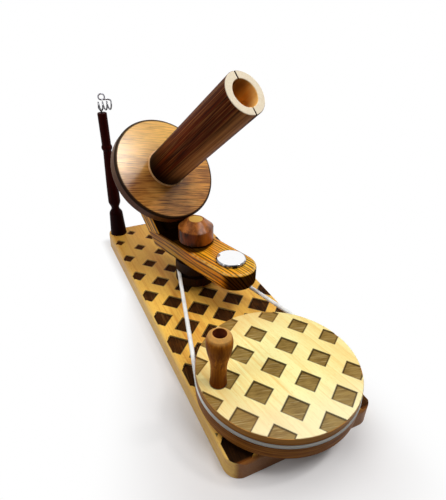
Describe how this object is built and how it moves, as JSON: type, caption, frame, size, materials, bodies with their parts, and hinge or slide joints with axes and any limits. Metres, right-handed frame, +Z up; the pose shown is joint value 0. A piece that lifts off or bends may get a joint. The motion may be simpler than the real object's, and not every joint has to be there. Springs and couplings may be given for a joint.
{
  "type": "yarn ball winder",
  "caption": "Hand-cranked wooden yarn ball winder: a belt carries a tilted bobbin round a fixed friction cone, with a wire yarn guide on a turned post.",
  "frame": {"origin": "centre of the base board's underside", "axes": "+Z up; +Y along the board, from the crank wheel towards the yarn guide; +X to the right as seen from the crank"},
  "size_m": [0.1332, 0.3734, 0.2352],
  "materials": {
    "pale_beech": "satin oiled, sunk squares stained dark brown",
    "handle_beech": "satin",
    "striped_wood": "polished, dark stripes",
    "dark_wood": "polished",
    "post_wood": "polished",
    "flange_wood": "polished",
    "tube_wood": "satin",
    "pale_wood": "satin",
    "chrome": "mirror",
    "steel": "turned",
    "bronze": "turned",
    "belt": "smooth translucent white"
  },
  "bodies": {
    "base": {"base_board": "pale_beech", "wheel_bush": "bronze", "rotor_shaft": "steel", "shaft_nut": "steel", "friction_knob": "dark_wood", "knob_nut": "steel", "knob_plug": "pale_wood", "guide_post": "post_wood", "wire_guide": "chrome", "drive_belt": "belt"},
    "wheel": {"crank_wheel": "pale_beech", "wheel_axle": "steel", "axle_clip": "steel", "handle_pin": "steel", "handle_washer": "steel"},
    "handle": {"crank_handle": "handle_beech"},
    "rotor": {"rotor_arm": "striped_wood", "rotor_pulley": "dark_wood", "pulley_screws": "steel", "lower_bush": "bronze", "upper_bush": "bronze", "counterweight": "chrome", "bracket_board": "striped_wood", "bracket_screws": "steel", "bobbin_spindle": "steel", "spindle_nut": "steel", "spindle_collar": "dark_wood", "thrust_washer": "steel", "spindle_lock": "steel"},
    "bobbin": {"bobbin_flange": "flange_wood", "bobbin_tube": "tube_wood", "tube_ring": "pale_wood", "hub_plug": "pale_wood", "flange_bush": "bronze", "hub_bush": "bronze"}
  },
  "joints": [
    {"name": "crank_spin", "type": "hinge", "parent": "base", "child": "wheel", "pos_m": [0, -0.1316, 0.018], "axis": [0, 0, 1], "continuous": true},
    {"name": "handle_spin", "type": "hinge", "parent": "wheel", "child": "handle", "pos_m": [-0.0494, -0.12849, 0.06], "axis": [0, 0, 1], "continuous": true},
    {"name": "rotor_spin", "type": "hinge", "parent": "base", "child": "rotor", "pos_m": [0, 0.031, 0.05], "axis": [0, 0, 1], "continuous": true},
    {"name": "bobbin_spin", "type": "hinge", "parent": "rotor", "child": "bobbin", "pos_m": [0, 0.031, 0.17053], "axis": [0.2332, -0.7178, 0.6561], "continuous": true}
  ],
  "couplings": [
    {"joint": "rotor_spin", "follows": "crank_spin", "ratio": 3.3191},
    {"joint": "bobbin_spin", "follows": "crank_spin", "ratio": 0.8052}
  ]
}
